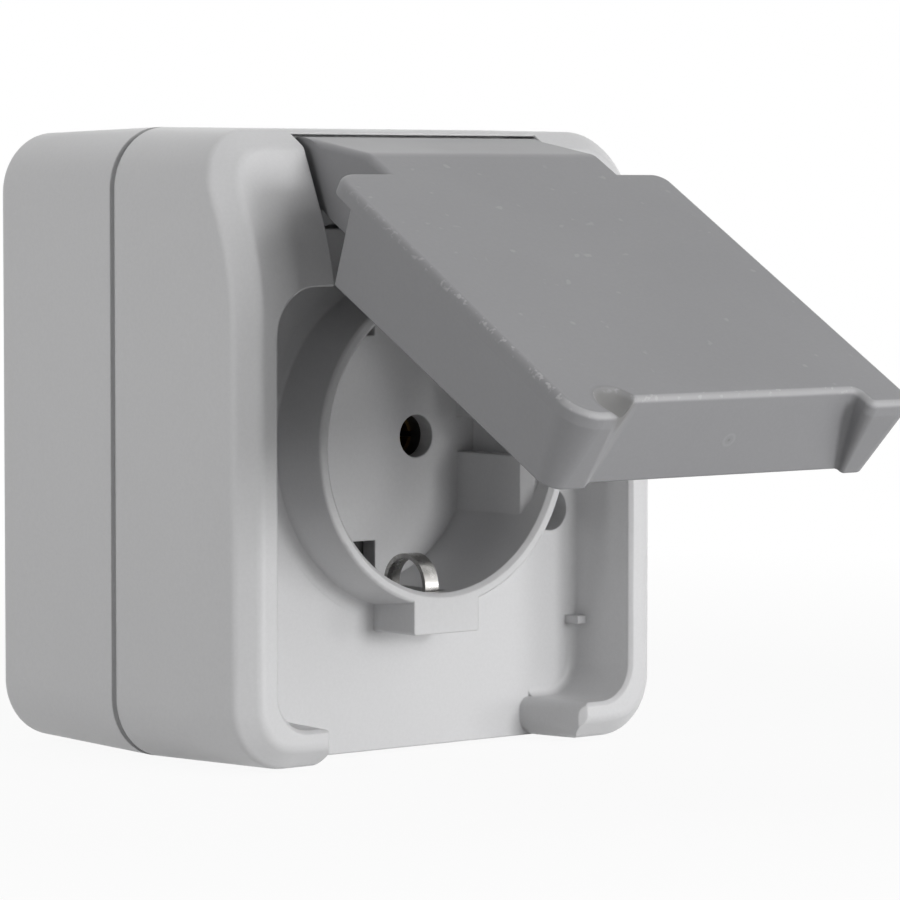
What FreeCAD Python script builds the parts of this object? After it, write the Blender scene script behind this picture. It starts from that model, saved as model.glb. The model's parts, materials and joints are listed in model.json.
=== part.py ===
"""Surface-mounted weatherproof socket with a hinged lid, in millimetres.

X runs to the right, Z up and Y into the wall. The wall is the plane Y = 0, so everything stands on
its negative side, and a depth below is a distance from the wall towards the front.
"""
import FreeCAD, Part
import math
import os

Vector = FreeCAD.Vector

# Housing
BODY_HALF_WIDTH = 36.65
BODY_HALF_HEIGHT = 41.6
BODY_CORNER = 8.2
BOX_DEPTH = 25.8
COVER_DEPTH = 27.8
DRAFT_PER_MM = 0.022
BOX_WALL = 2.5
BOX_BACK_EDGE = 1.2
COVER_WALL = 2.4
SEAM_WIDTH = 1.0
SEAM_INSET = 0.6

# Front face of the cover
RIM_BEVEL = 2.6
RIM_BEVEL_ROUND = 1.6
SHOULDER_START = 23.3
SHOULDER_LEAN = 23.0
SHOULDER_BEND = 38.0
RECESS_HALF_WIDTH = 30.5
RECESS_TOP = 21.0
RECESS_BOTTOM = 36.0
RECESS_TOP_CORNER = 6.5
RECESS_BOTTOM_CORNER = 4.8
RECESS_DEPTH = 11.35
RECESS_DRAFT = 0.4
RECESS_LIP_BEVEL = 0.5
RECESS_FLOOR_ROUND = 1.0
FINGER_GAP_HALF = 22.06
FINGER_GAP_FLARE = 1.7
FINGER_GAP_CORNER = 2.5
FINGER_GAP_TOP_CORNER = 1.6
NIB_HEIGHT = 25.2
NIB_THICK = 1.1
NIB_LENGTH = 2.6

# Socket well
SOCKET_DROP = 0.2
COLLAR_SETBACK = 2.95
COLLAR_WALL = 1.75
COLLAR_FLARE = 0.7
COLLAR_ROUND = 0.45
COLLAR_FOOT = 1.0
WELL_RADIUS = 19.75
WELL_DEPTH = 17.5
WELL_FLOOR = 2.5
WELL_LIP = 0.6
PIN_SPACING = 19.0
PIN_HOLE_RADIUS = 2.92
GUIDE_HALF_SPAN = 16.8
GUIDE_NOTCH_HALF = 2.4
GUIDE_SETBACK = 3.0
GUIDE_BEVEL = 1.4
EARTH_SLOT_HALF = 2.2
EARTH_SLOT_INNER = 13.9
KEY_HALF_WIDTH = 5.6
KEY_REACH = 25.1

# Lid and hinge
HINGE_SETBACK = 8.7
HINGE_HEIGHT = 34.4
LID_OPEN_ANGLE = 58.8
KNUCKLE_RADIUS = 5.8
KNUCKLE_CLEARANCE = 0.35
HINGE_PIN_RADIUS = 1.5
HINGE_PIN_CLEARANCE = 0.05
HINGE_PIN_GRIP = 3.2
MOUTH_SETBACK = 0.8
LID_PROUD = 1.3
LID_WALL = 2.1
LID_SKIRT_GAP = 0.25
LID_NECK_HALF = 20.0
LID_NECK_GAP = 1.2
LID_SHOULDER_GAP = 0.7
LID_HALF_WIDTH_TOP = 28.2
LID_HALF_WIDTH_BOTTOM = 27.4
LID_FLARE_TOP = 0.6
LID_FLARE_BOTTOM = 2.6
LID_CORNER = 2.4
LID_FLARED_CORNER = 4.2
LID_TOP_CORNER = 3.4
LID_SKIRT_LEAN = 1.3
LID_BOTTOM_GAP = 0.5
LID_SCOOP_DEPTH = 3.3
LID_SCOOP_RIGHT = 19.5
LID_SCOOP_LEFT = 18.4
LID_SCOOP_ROUND = 3.0
LID_SCOOP_CORNER = 0.9
LID_BOSS_LEFT = 23.8
LID_BOSS_ROUND = 1.2
LID_BOSS_RISE = 2.5
LID_SCOOP_RISE = 0.3
LID_REAR_SCOOP_RIGHT = 22.6
LID_REAR_SCOOP_LEFT = 20.0
LID_REAR_BOSS_LEFT = 21.6
LID_DENT_X = 21.6
LID_DENT_Z = 33.0
LID_DENT_RADIUS = 5.0
LID_DENT_DEPTH = 1.4
LID_OVERHANG = 5.2
LID_EDGE_ROUND = 0.9
LID_REAR_ROUND = 0.9
LID_LEAN = 21.5
LID_BEND = 4.0
LID_NECK_SETBACK = 1.4
LID_CHEEK_WALL = 3.5
LID_SEAL_INNER = 19.3
LID_SEAL_WIDTH = 2.7
LID_SEAL_GAP = 0.2
LID_COLLAR_GAP = 0.8
LID_SEAL_RIB = 1.0
LID_SEAL_RIB_HEIGHT = 1.2
FIT = 0.05

# Screws that hold the cover and the contact carrier
COVER_SCREW_X = 26.0
COVER_SCREW_Z = 10.5
COVER_SCREW_WELL = 2.9
COVER_SCREW_HEAD = 2.6
COVER_SCREW_SHANK = 1.6
COVER_SCREW_HEAD_HEIGHT = 2.2
COVER_SCREW_LENGTH = 16.0
SCREW_SEAT = 3.0
SCREW_SEAL = 0.8
BOSS_WALL = 1.7
CARRIER_SCREW_X = 16.0
CARRIER_SCREW_Z = 21.0
CARRIER_SCREW_HEAD = 2.8
CARRIER_SCREW_LENGTH = 19.5
PILLAR_RADIUS = 4.0
SLOT_WIDTH = 0.9
SLOT_DEPTH = 1.0

# Contact carrier and contacts
CARRIER_HALF_WIDTH = 21.0
CARRIER_HALF_HEIGHT = 29.5
CARRIER_CORNER = 3.0
CARRIER_PLATE = 2.0
CARRIER_DEPTH = 17.15
SLEEVE_BORE = 2.5
SLEEVE_WALL = 0.8
SLEEVE_LENGTH = 13.0
SLEEVE_SLIT = 0.8
CONTACT_SHEET = 1.0
CONTACT_STRAP_HALF = 2.5
TERMINAL_HALF = 3.7
TERMINAL_SCREW_HEAD = 2.8
TERMINAL_SCREW_SHANK = 1.7
CLAMP_THICK = 1.5
WIRE_SPACE = 2.5
WIRE_HOLE = 1.6
EARTH_SHEET = 0.6
EARTH_HALF_WIDTH = 1.15
EARTH_BOW_HALF = 2.5
EARTH_ARCH_RADIUS = 4.36
EARTH_ARCH_DEPTH = 7.35
EARTH_TERMINAL_Z = 24.8
CHANNEL_GAP = 0.1

# Box fittings
GASKET_INSET = 0.75
GASKET_WIDTH = 1.1
GASKET_DEPTH = 1.4
WALL_HOLE_RADIUS = 2.25
WALL_HOLE_X = 25.0
WALL_HOLE_Z = 31.0
ENTRY_RADIUS = 7.6
ENTRY_FLANGE = 2.2
ENTRY_FLANGE_THICK = 1.0
ENTRY_MEMBRANE = 1.2
ENTRY_RETURN_GAP = 0.3
ENTRY_DEPTH = 13.4

# Places that follow from the sizes above
SEAM = BOX_DEPTH
BODY_DEPTH = BOX_DEPTH + COVER_DEPTH
FLOOR = BODY_DEPTH - RECESS_DEPTH
COLLAR_FRONT = BODY_DEPTH - COLLAR_SETBACK
WELL_BOTTOM = COLLAR_FRONT - WELL_DEPTH
WELL_BACK = WELL_BOTTOM - WELL_FLOOR
HINGE_DEPTH = BODY_DEPTH - HINGE_SETBACK
LID_FACE = BODY_DEPTH + LID_PROUD
LID_BACK = FLOOR + LID_SKIRT_GAP
LID_INSIDE = LID_FACE - LID_WALL
COLLAR_RADIUS = WELL_RADIUS + COLLAR_WALL
CUP_RADIUS = COLLAR_RADIUS + COLLAR_FLARE
NECK_SLOT_HALF = LID_NECK_HALF + LID_NECK_GAP
CARRIER_FRONT = WELL_BACK
CARRIER_BACK = CARRIER_FRONT - CARRIER_DEPTH
CARRIER_SPLIT = CARRIER_BACK + CARRIER_PLATE
EARTH_TRACK = WELL_RADIUS + EARTH_SHEET + CHANNEL_GAP * 6
PIN_X = PIN_SPACING / 2
FAR = 80.0


def at(x, depth, z):
    """A point from its distance to the wall."""
    return Vector(x, -depth, z)


def block(x0, x1, d0, d1, z0, z1):
    """A box between two depths."""
    return Part.makeBox(x1 - x0, d1 - d0, z1 - z0, at(x0, d1, z0))


def rod(x, z, d0, d1, radius):
    """A cylinder that points away from the wall."""
    return Part.makeCylinder(radius, d1 - d0, at(x, d0, z), Vector(0, -1, 0))


def cone(x, z, d0, d1, r0, r1):
    """A cone that points away from the wall."""
    return Part.makeCone(r0, r1, d1 - d0, at(x, d0, z), Vector(0, -1, 0))


def outline(points, place):
    """A closed wire through (a, b, radius) corners, each rounded by its radius."""
    edges = []
    ends = []
    count = len(points)
    for i in range(count):
        a, b, radius = points[i]
        here = Vector(a, b, 0)
        before = Vector(points[i - 1][0], points[i - 1][1], 0) - here
        after = Vector(points[(i + 1) % count][0], points[(i + 1) % count][1], 0) - here
        before.normalize()
        after.normalize()
        if radius <= 0:
            ends.append((here, here, here))
            continue
        half = before.getAngle(after) / 2
        cut = radius / math.tan(half)
        middle = before + after
        middle.normalize()
        reach = radius / math.sin(half) - radius
        ends.append((here + before * cut, here + middle * reach, here + after * cut))
    for i in range(count):
        start, bend, end = ends[i]
        if (end - start).Length > 1e-6:
            edges.append(Part.Arc(place(start.x, start.y), place(bend.x, bend.y), place(end.x, end.y)).toShape())
        onward = ends[(i + 1) % count][0]
        if (onward - end).Length > 1e-6:
            edges.append(Part.LineSegment(place(end.x, end.y), place(onward.x, onward.y)).toShape())
    return Part.Wire(edges)


def prism(points, d0, d1):
    """A solid with the front-view outline points, between two depths."""
    face = Part.Face(outline(points, lambda x, z: at(x, d0, z)))
    return face.extrude(Vector(0, d0 - d1, 0))


def side_prism(points, x0, x1):
    """A solid with the side-view outline points (depth, z), between two X places."""
    face = Part.Face(outline(points, lambda depth, z: at(x0, depth, z)))
    return face.extrude(Vector(x1 - x0, 0, 0))


def shrunk(points, inset):
    """The corners of an anticlockwise outline, moved in by inset."""
    moved = []
    count = len(points)
    for i in range(count):
        here = Vector(points[i][0], points[i][1], 0)
        come = here - Vector(points[i - 1][0], points[i - 1][1], 0)
        go = Vector(points[(i + 1) % count][0], points[(i + 1) % count][1], 0) - here
        come.normalize()
        go.normalize()
        inward = Vector(-come.y - go.y, come.x + go.x, 0) * (inset / (1 + come.dot(go)))
        turn = math.copysign(1, come.cross(go).z)
        moved.append((here.x + inward.x, here.y + inward.y, max(points[i][2] - turn * inset, 0.3)))
    return moved


def rectangle(half_width, half_height, radius):
    """Corner points of a rounded rectangle about the middle."""
    return [
        (-half_width, -half_height, radius),
        (half_width, -half_height, radius),
        (half_width, half_height, radius),
        (-half_width, half_height, radius),
    ]


def taper(points0, d0, points1, d1):
    """A solid that runs straight from one outline to another at a second depth."""
    wires = [
        outline(points0, lambda x, z: at(x, d0, z)),
        outline(points1, lambda x, z: at(x, d1, z)),
    ]
    return Part.makeLoft(wires, True, True)


def housing(inset, d0, d1):
    """The housing's drafted outside, moved in by inset, between two depths."""
    def section(depth):
        loss = abs(depth - SEAM) * DRAFT_PER_MM + inset
        corner = max(BODY_CORNER - inset, 1.0)
        return rectangle(BODY_HALF_WIDTH - loss, BODY_HALF_HEIGHT - loss, corner)
    return taper(section(d0), d0, section(d1), d1)


def front_face(inset):
    """Everything behind the cover's front: upright below, leaning back along the shoulders."""
    lean = math.tan(math.radians(SHOULDER_LEAN))
    start = SHOULDER_START - inset * math.tan(math.radians(SHOULDER_LEAN / 2))
    top = BODY_HALF_HEIGHT + FAR
    front = BODY_DEPTH - inset
    points = [
        (0, -FAR, 0),
        (front, -FAR, 0),
        (front, start, SHOULDER_BEND),
        (front - lean * (top - start), top, 0),
        (0, top, 0),
    ]
    return side_prism(points, -FAR, FAR)


def mirrored(shape):
    """The same piece on the other side of the middle plane."""
    return shape.mirror(Vector(0, 0, 0), Vector(1, 0, 0))


def half_turned(shape):
    """The same piece turned half round about the socket's axis."""
    turned = shape.copy()
    turned.rotate(at(0, 0, -SOCKET_DROP), Vector(0, 1, 0), 180)
    return turned


def fuse(first, *others):
    """One solid out of several that touch."""
    return first.multiFuse(list(others)).removeSplitter()


def knuckle_tangent():
    """Where the neck's leaning outer face meets the knuckle, and where that face leaves the lid's face."""
    lean = math.radians(LID_LEAN)
    depth = HINGE_DEPTH + KNUCKLE_RADIUS * math.cos(lean)
    height = HINGE_HEIGHT + KNUCKLE_RADIUS * math.sin(lean)
    bend = height - (LID_FACE - depth) / math.tan(lean)
    return depth, height, bend


def recess_cut():
    """The space in the cover that the lid closes into."""
    half = RECESS_HALF_WIDTH
    front = [
        (-half, -RECESS_BOTTOM, RECESS_BOTTOM_CORNER),
        (half, -RECESS_BOTTOM, RECESS_BOTTOM_CORNER),
        (half, RECESS_TOP, RECESS_TOP_CORNER),
        (-half, RECESS_TOP, RECESS_TOP_CORNER),
    ]
    slope = RECESS_DRAFT / RECESS_DEPTH
    reach = 2.0
    back = []
    ahead = []
    for x, z, radius in front:
        lift = math.copysign(1, z) if z > 0 else 0
        back.append((x - math.copysign(RECESS_DRAFT, x), z - lift * RECESS_DRAFT, radius))
        ahead.append((x + math.copysign(slope * reach, x), z + lift * slope * reach, radius))
    wide = taper(back, FLOOR, ahead, BODY_DEPTH + reach)
    wide = wide.makeFillet(RECESS_FLOOR_ROUND, [edge for edge in wide.Edges if edge.BoundBox.YMin > -FLOOR - 0.1])
    tight = []
    flare = []
    for x, z, radius in front:
        tight.append((x - math.copysign(1, x), z - math.copysign(1, z), radius - 1))
        flare.append((x + math.copysign(reach, x), z + math.copysign(reach, z), radius + reach))
    bevel_start = BODY_DEPTH - RECESS_LIP_BEVEL
    lip = taper(tight, bevel_start - 1, flare, bevel_start + reach)
    top_lip = HINGE_HEIGHT + KNUCKLE_RADIUS + KNUCKLE_CLEARANCE
    slot_half = NECK_SLOT_HALF
    neck = block(-slot_half, slot_half, FLOOR, BODY_DEPTH + reach, 0, top_lip)
    mouth = block(-slot_half, slot_half, HINGE_DEPTH - MOUTH_SETBACK, BODY_DEPTH + reach, 0, FAR)
    bay_back = HINGE_DEPTH - KNUCKLE_RADIUS - KNUCKLE_CLEARANCE
    bay_low = HINGE_HEIGHT - KNUCKLE_RADIUS - KNUCKLE_CLEARANCE
    bay = block(-slot_half, slot_half, bay_back, FLOOR + 1, bay_low, top_lip)
    gap = FINGER_GAP_HALF
    low = -RECESS_BOTTOM + RECESS_BOTTOM_CORNER
    narrow = gap - FINGER_GAP_FLARE
    gap_front = [(-gap, -FAR, 0), (gap, -FAR, 0), (gap, low, 0), (-gap, low, 0)]
    gap_back = [(-narrow, -FAR, 0), (narrow, -FAR, 0), (narrow, low, 0), (-narrow, low, 0)]
    finger = taper(gap_back, FLOOR, gap_front, BODY_DEPTH + reach)
    bevel_half = gap + RECESS_LIP_BEVEL - reach
    bevel_back = [(-bevel_half, -FAR, 0), (bevel_half, -FAR, 0), (bevel_half, low, 0), (-bevel_half, low, 0)]
    bevel_half = gap + RECESS_LIP_BEVEL + reach
    bevel_front = [(-bevel_half, -FAR, 0), (bevel_half, -FAR, 0), (bevel_half, low, 0), (-bevel_half, low, 0)]
    finger_bevel = taper(bevel_back, BODY_DEPTH - reach, bevel_front, BODY_DEPTH + reach)
    low_corner = gap_corner(reach, -BODY_HALF_HEIGHT + (FLOOR - SEAM) * DRAFT_PER_MM, FINGER_GAP_CORNER, 1)
    top_corner = gap_corner(reach, -RECESS_BOTTOM, FINGER_GAP_TOP_CORNER, -1)
    corners = [low_corner, mirrored(low_corner), top_corner, mirrored(top_corner)]
    return wide.multiFuse([lip, neck, mouth, bay, finger, finger_bevel] + corners)


def gap_corner(reach, level, radius, inward):
    """What the cover loses at a corner of the finger gap's right end, rounded towards z = level."""
    corner = [
        (FINGER_GAP_HALF - radius, level - inward, 0),
        (FINGER_GAP_HALF + radius, level - inward, 0),
        (FINGER_GAP_HALF + radius, level, 0),
        (FINGER_GAP_HALF, level, radius),
        (FINGER_GAP_HALF, level + inward * radius, 0),
        (FINGER_GAP_HALF - radius, level + inward * radius, 0),
    ]
    face = Part.Face(outline(corner, lambda x, z: at(x, BODY_DEPTH + reach, z)))
    return face.extrude(Vector(-FINGER_GAP_FLARE, RECESS_DEPTH + reach, 0))


def bay_tub():
    """Walls around the hinge bay behind the cover's floor."""
    half = NECK_SLOT_HALF + COVER_WALL
    back = HINGE_DEPTH - KNUCKLE_RADIUS - KNUCKLE_CLEARANCE - COVER_WALL
    low = HINGE_HEIGHT - KNUCKLE_RADIUS - KNUCKLE_CLEARANCE - COVER_WALL
    return block(-half, half, back, FLOOR, low, BODY_HALF_HEIGHT)


def screw_boss():
    """The deep well of the right cover screw, behind the floor."""
    return rod(COVER_SCREW_X, -COVER_SCREW_Z, SEAM, FLOOR, COVER_SCREW_WELL + BOSS_WALL)


def turned(points):
    """A ring about the socket's axis with the section points (radius, depth, rounding)."""
    z = -SOCKET_DROP
    face = Part.Face(outline(points, lambda radius, depth: at(radius, depth, z)))
    return face.revolve(at(0, 0, z), Vector(0, 1, 0), 360)


def socket_cup():
    """The collar in front of the floor, its foot and the well's wall behind the floor."""
    inner = WELL_RADIUS - COLLAR_WALL
    collar = turned([
        (inner, FLOOR - 1, 0),
        (inner, COLLAR_FRONT, 0),
        (COLLAR_RADIUS, COLLAR_FRONT, COLLAR_ROUND),
        (CUP_RADIUS, FLOOR, 0),
        (CUP_RADIUS, FLOOR - 1, 0),
    ])
    foot = turned([
        (CUP_RADIUS - 1, FLOOR - 0.5, 0),
        (CUP_RADIUS - 1, FLOOR + COLLAR_FOOT * 2, 0),
        (CUP_RADIUS, FLOOR, COLLAR_FOOT),
        (CUP_RADIUS + COLLAR_FOOT * 2, FLOOR + 0.02, 0),
        (CUP_RADIUS + COLLAR_FOOT * 2, FLOOR - 0.5, 0),
    ])
    z = -SOCKET_DROP
    behind = rod(0, z, WELL_BACK, FLOOR, CUP_RADIUS)
    key = block(-KEY_HALF_WIDTH, KEY_HALF_WIDTH, FLOOR, COLLAR_FRONT, z - KEY_REACH, z - WELL_RADIUS)
    upright = [edge for edge in key.Edges if edge.BoundBox.YLength > 1 and edge.BoundBox.ZMax < z - KEY_REACH + 1]
    return [collar, behind, key.makeFillet(COLLAR_ROUND, upright), foot]


def guide_ribs():
    """The flats inside the well, two on each side, bevelled at their front ends."""
    z = -SOCKET_DROP
    front = COLLAR_FRONT - GUIDE_SETBACK
    edge = math.sqrt(WELL_RADIUS ** 2 - GUIDE_HALF_SPAN ** 2)
    ribs = []
    for side in (-1, 1):
        for level in (-1, 1):
            x0 = min(side * GUIDE_HALF_SPAN, side * CUP_RADIUS)
            x1 = max(side * GUIDE_HALF_SPAN, side * CUP_RADIUS)
            z0 = min(level * GUIDE_NOTCH_HALF, level * (edge + 1)) + z
            z1 = max(level * GUIDE_NOTCH_HALF, level * (edge + 1)) + z
            rib = block(x0, x1, WELL_BOTTOM - 0.5, front, z0, z1)
            tip = bevel_tool(side, front, z0, z1)
            ribs.append(rib.cut(tip).common(rod(0, z, 0, BODY_DEPTH, COLLAR_RADIUS - COLLAR_WALL / 2)))
    return ribs


def bevel_tool(side, front, z0, z1):
    """The wedge that a guide rib's front end loses."""
    inner = side * GUIDE_HALF_SPAN
    corners = [
        at(inner - side, front - GUIDE_BEVEL - 1, z0 - 1),
        at(inner - side, front + 1, z0 - 1),
        at(inner + side * (GUIDE_BEVEL + 1), front + 1, z0 - 1),
    ]
    face = Part.Face(Part.makePolygon(corners + [corners[0]]))
    return face.extrude(Vector(0, 0, z1 - z0 + 2))


def well_cut():
    """The well, the pin holes and the earth slots."""
    z = -SOCKET_DROP
    cuts = [
        rod(0, z, WELL_BOTTOM, BODY_DEPTH + 5, WELL_RADIUS),
        cone(0, z, COLLAR_FRONT - WELL_LIP, COLLAR_FRONT + 1, WELL_RADIUS, WELL_RADIUS + WELL_LIP + 1),
    ]
    return cuts[0].fuse(cuts[1])


def floor_cuts():
    """Pin holes and earth slots through the well's floor, with the earth clips' tracks."""
    z = -SOCKET_DROP
    cuts = []
    for side in (-1, 1):
        cuts.append(rod(side * PIN_X, z, WELL_BACK - 1, WELL_BOTTOM + 1, PIN_HOLE_RADIUS))
        z0 = min(side * EARTH_SLOT_INNER, side * EARTH_TRACK) + z
        z1 = max(side * EARTH_SLOT_INNER, side * EARTH_TRACK) + z
        half = EARTH_SLOT_HALF
        cuts.append(block(-half, half, WELL_BACK - 1, WELL_BOTTOM + 0.5, z0, z1))
        front = COLLAR_FRONT - EARTH_ARCH_DEPTH + EARTH_ARCH_RADIUS + CHANNEL_GAP * 5
        z0 = min(side * (WELL_RADIUS - 2), side * EARTH_TRACK) + z
        z1 = max(side * (WELL_RADIUS - 2), side * EARTH_TRACK) + z
        cuts.append(block(-half, half, WELL_BOTTOM - 0.5, front, z0, z1))
    return cuts


def rim_edges(shape):
    """The closed loop of edges round the front of the cover's plain outside."""
    found = []
    for edge in shape.Edges:
        box = edge.BoundBox
        at_seam = box.YMin > -SEAM - 0.1
        draws_back = box.YLength > (BODY_DEPTH - SEAM) / 2
        across = box.XLength > BODY_HALF_WIDTH and abs(box.ZMin) < BODY_HALF_HEIGHT - 2
        if not (at_seam or draws_back or across):
            found.append(edge)
    return found


def front_cover():
    """The cover: rim, floor, collar and well in one moulding."""
    outside = housing(0, SEAM, BODY_DEPTH + 1).common(front_face(0))
    outside = outside.makeChamfer(RIM_BEVEL, rim_edges(outside))
    outside = outside.makeFillet(RIM_BEVEL_ROUND, rim_edges(outside))
    inside = housing(COVER_WALL, SEAM, BODY_DEPTH).common(front_face(COVER_WALL))
    behind_floor = block(-FAR, FAR, 0, FLOOR - COVER_WALL, -FAR, FAR)
    hollow_x = NECK_SLOT_HALF + COVER_WALL
    over_recess = block(hollow_x, FAR, 0, BODY_DEPTH, RECESS_TOP + COVER_WALL, FAR)
    hollow = inside.common(behind_floor.multiFuse([over_recess, mirrored(over_recess)]))
    boss = screw_boss()
    cup = socket_cup()
    hollow = hollow.cut(bay_tub().multiFuse([boss, mirrored(boss), cup[1]]))
    shell = outside.cut(hollow)
    shell = shell.cut(recess_cut())
    shell = shell.multiFuse(cup)
    shell = shell.cut(well_cut())
    shell = shell.multiFuse(guide_ribs())
    nib_x = RECESS_HALF_WIDTH - RECESS_DRAFT
    nib = block(nib_x - 1.4, nib_x + 1, FLOOR - 0.5, FLOOR + NIB_LENGTH,
                -NIB_HEIGHT - NIB_THICK, -NIB_HEIGHT)
    shell = shell.multiFuse([nib, mirrored(nib)])
    cuts = floor_cuts()
    screw = rod(COVER_SCREW_X, -COVER_SCREW_Z, SEAM + SCREW_SEAT, BODY_DEPTH, COVER_SCREW_WELL)
    shank = rod(COVER_SCREW_X, -COVER_SCREW_Z, SEAM - 1, SEAM + SCREW_SEAT + 1, COVER_SCREW_SHANK + FIT * 4)
    cuts += [screw, mirrored(screw), shank, mirrored(shank)]
    pin = hinge_pin(HINGE_PIN_RADIUS + FIT / 5)
    cuts += [pin, mirrored(pin)]
    seam_outside = housing(-2, SEAM - 1, SEAM + SEAM_WIDTH)
    seam_inside = housing(SEAM_INSET, SEAM - 2, SEAM + SEAM_WIDTH + 1)
    cuts.append(seam_outside.cut(seam_inside))
    shell = shell.cut(cuts[0].multiFuse(cuts[1:]))
    return shell.removeSplitter()


def mounting_box():
    """The box that stands on the wall."""
    outside = housing(0, 0, SEAM)
    edges = []
    for edge in outside.Edges:
        if abs(edge.BoundBox.YMin) < 1e-6 and abs(edge.BoundBox.YMax) < 1e-6:
            edges.append(edge)
    outside = outside.makeFillet(BOX_BACK_EDGE, edges)
    shell = outside.cut(housing(BOX_WALL, BOX_WALL, SEAM + 1))
    pillar = rod(COVER_SCREW_X, -COVER_SCREW_Z, BOX_WALL - 0.5, SEAM, PILLAR_RADIUS)
    support = rod(CARRIER_SCREW_X, -CARRIER_SCREW_Z, BOX_WALL - 0.5, CARRIER_BACK, PILLAR_RADIUS - 0.6)
    shell = shell.multiFuse([pillar, mirrored(pillar), support, half_turned(support)])
    cuts = []
    screw_end = SEAM + SCREW_SEAT + SCREW_SEAL - COVER_SCREW_LENGTH
    pilot = rod(COVER_SCREW_X, -COVER_SCREW_Z, screw_end, SEAM + 1, COVER_SCREW_SHANK + FIT)
    cuts += [pilot, mirrored(pilot)]
    seat = CARRIER_FRONT - SCREW_SEAT
    hole = rod(CARRIER_SCREW_X, -CARRIER_SCREW_Z, seat - CARRIER_SCREW_LENGTH, SEAM, COVER_SCREW_SHANK + FIT)
    cuts += [hole, half_turned(hole)]
    for x in (-WALL_HOLE_X, WALL_HOLE_X):
        for z in (-WALL_HOLE_Z, WALL_HOLE_Z):
            cuts.append(rod(x, z, -1, BOX_WALL + 1, WALL_HOLE_RADIUS))
    groove = housing(GASKET_INSET, SEAM - GASKET_DEPTH, SEAM + 1)
    cuts.append(groove.cut(housing(GASKET_INSET + GASKET_WIDTH, SEAM - GASKET_DEPTH - 1, SEAM + 2)))
    for direction in (-1, 1):
        cuts += entry_hole(direction)
    return shell.cut(cuts[0].multiFuse(cuts[1:])).removeSplitter()


def entry_rod(direction, near, far, radius):
    """A cylinder along Z about the cable entry's axis, above or below the middle."""
    return Part.makeCylinder(radius, far - near, at(0, ENTRY_DEPTH, direction * near), Vector(0, 0, direction))


def entry_face():
    """Height of the box's top and bottom faces where the cable entries are."""
    return BODY_HALF_HEIGHT - abs(SEAM - ENTRY_DEPTH) * DRAFT_PER_MM


def entry_hole(direction):
    """The hole in the wall and the shallow seat of the grommet's outer flange."""
    face = entry_face()
    hole = entry_rod(direction, face - BOX_WALL - 2, face + 2, ENTRY_RADIUS)
    seat = entry_rod(direction, face - ENTRY_FLANGE_THICK, face + 2, ENTRY_RADIUS + ENTRY_FLANGE)
    return [hole, seat]


def cable_grommet(direction):
    """A rubber grommet with a closed membrane, flush with the box's face."""
    face = entry_face()
    flange_radius = ENTRY_RADIUS + ENTRY_FLANGE
    flange = entry_rod(direction, face - ENTRY_FLANGE_THICK, face + 1, flange_radius)
    flange = flange.common(housing(0, 0, SEAM))
    hub = entry_rod(direction, face - BOX_WALL - 1.5, face - ENTRY_FLANGE_THICK + 0.2, ENTRY_RADIUS - FIT)
    inner = entry_rod(direction, face - BOX_WALL - 2.1, face - BOX_WALL - ENTRY_RETURN_GAP, ENTRY_RADIUS + 1.1)
    body = fuse(flange, hub, inner)
    bottom = entry_rod(direction, face - BOX_WALL - 3, face - ENTRY_MEMBRANE, ENTRY_RADIUS - 1.6)
    dish = entry_rod(direction, face - 0.6, face + 2, ENTRY_RADIUS - 2.6)
    ring = dish.cut(entry_rod(direction, face - 1, face + 3, ENTRY_RADIUS - 3.2))
    return body.cut(bottom).cut(ring)


def box_gasket():
    """The rubber ring in the box's front edge."""
    ring = housing(GASKET_INSET + FIT, SEAM - GASKET_DEPTH, SEAM)
    return ring.cut(housing(GASKET_INSET + GASKET_WIDTH - FIT, SEAM - GASKET_DEPTH - 1, SEAM + 1))


def hinge_pin(radius):
    """The right hinge pin, through the cover's wall into the lid's cheek."""
    start = LID_NECK_HALF - HINGE_PIN_GRIP
    end = NECK_SLOT_HALF + COVER_WALL
    return Part.makeCylinder(radius, end - start, at(start, HINGE_DEPTH, HINGE_HEIGHT), Vector(1, 0, 0))


def lid_outline(top):
    """The lid's front-view corners up to the height top, with the finger recess between two bosses."""
    bottom = -RECESS_BOTTOM + LID_BOTTOM_GAP
    scoop = bottom + LID_SCOOP_DEPTH
    return [
        (-LID_HALF_WIDTH_BOTTOM - LID_FLARE_BOTTOM, bottom, LID_FLARED_CORNER),
        (-LID_BOSS_LEFT, bottom, LID_BOSS_ROUND),
        (-LID_SCOOP_LEFT, scoop, LID_SCOOP_ROUND),
        (LID_SCOOP_RIGHT, scoop, LID_SCOOP_CORNER),
        (LID_SCOOP_RIGHT, bottom, LID_BOSS_ROUND),
        (LID_HALF_WIDTH_BOTTOM, bottom, LID_CORNER),
        (LID_HALF_WIDTH_TOP, top, LID_CORNER),
        (-LID_HALF_WIDTH_TOP - LID_FLARE_TOP, top, LID_TOP_CORNER),
    ]


def lid_hollow_outline(top):
    """The front-view corners of the lid's hollow, which leaves both bosses solid."""
    scoop = lid_outline(top)[2][1]
    left = (-LID_HALF_WIDTH_BOTTOM, scoop, LID_CORNER)
    right = (LID_HALF_WIDTH_BOTTOM, scoop, LID_CORNER)
    return shrunk([left, right] + lid_rear_outline(top)[6:], LID_WALL)


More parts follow.
